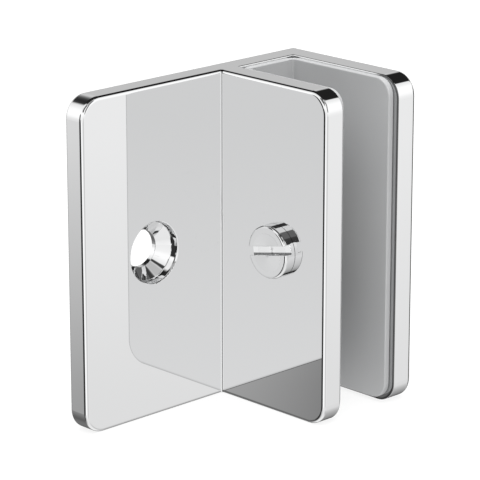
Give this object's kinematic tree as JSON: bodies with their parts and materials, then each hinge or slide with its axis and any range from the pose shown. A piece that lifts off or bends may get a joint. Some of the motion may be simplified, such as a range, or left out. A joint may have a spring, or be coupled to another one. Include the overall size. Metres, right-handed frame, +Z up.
{
  "type": "shower glass bracket",
  "caption": "F-shaped clamp that screws to a wall and grips the edge of a glass panel at a right angle, with a lined slot and a slotted clamp screw.",
  "frame": {"origin": "on the wall face, at mid-height, in the middle plane of the glass slot", "axes": "+Y into the wall, -Y into the room along the glass, +X away from the wall flange, +Z up"},
  "size_m": [0.0501, 0.0277, 0.055],
  "materials": {
    "polished_chrome": "mirror-polished chrome plate over cast brass",
    "liner_rubber": "matt light grey soft rubber",
    "screw_chrome": "polished chrome plate over turned brass",
    "pad_nylon": "natural white nylon"
  },
  "bodies": {
    "root": {"bracket_body": "polished_chrome", "glass_liner": "liner_rubber"},
    "pad": {"pressure_pad": "pad_nylon"},
    "screw": {"clamp_screw": "screw_chrome"}
  },
  "joints": [
    {"name": "pad_travel", "type": "slide", "parent": "root", "child": "pad", "axis": [1, 0, 0], "range_m": [-0.0009, 0]},
    {"name": "screw_turn", "type": "hinge", "parent": "pad", "child": "screw", "pos_m": [-0.01005, -0.01657, 0], "axis": [1, 0, 0], "range_deg": [-324.5, 0.5]}
  ],
  "couplings": [
    {"joint": "screw_turn", "follows": "pad_travel", "rad_per_m": 6283.2}
  ]
}
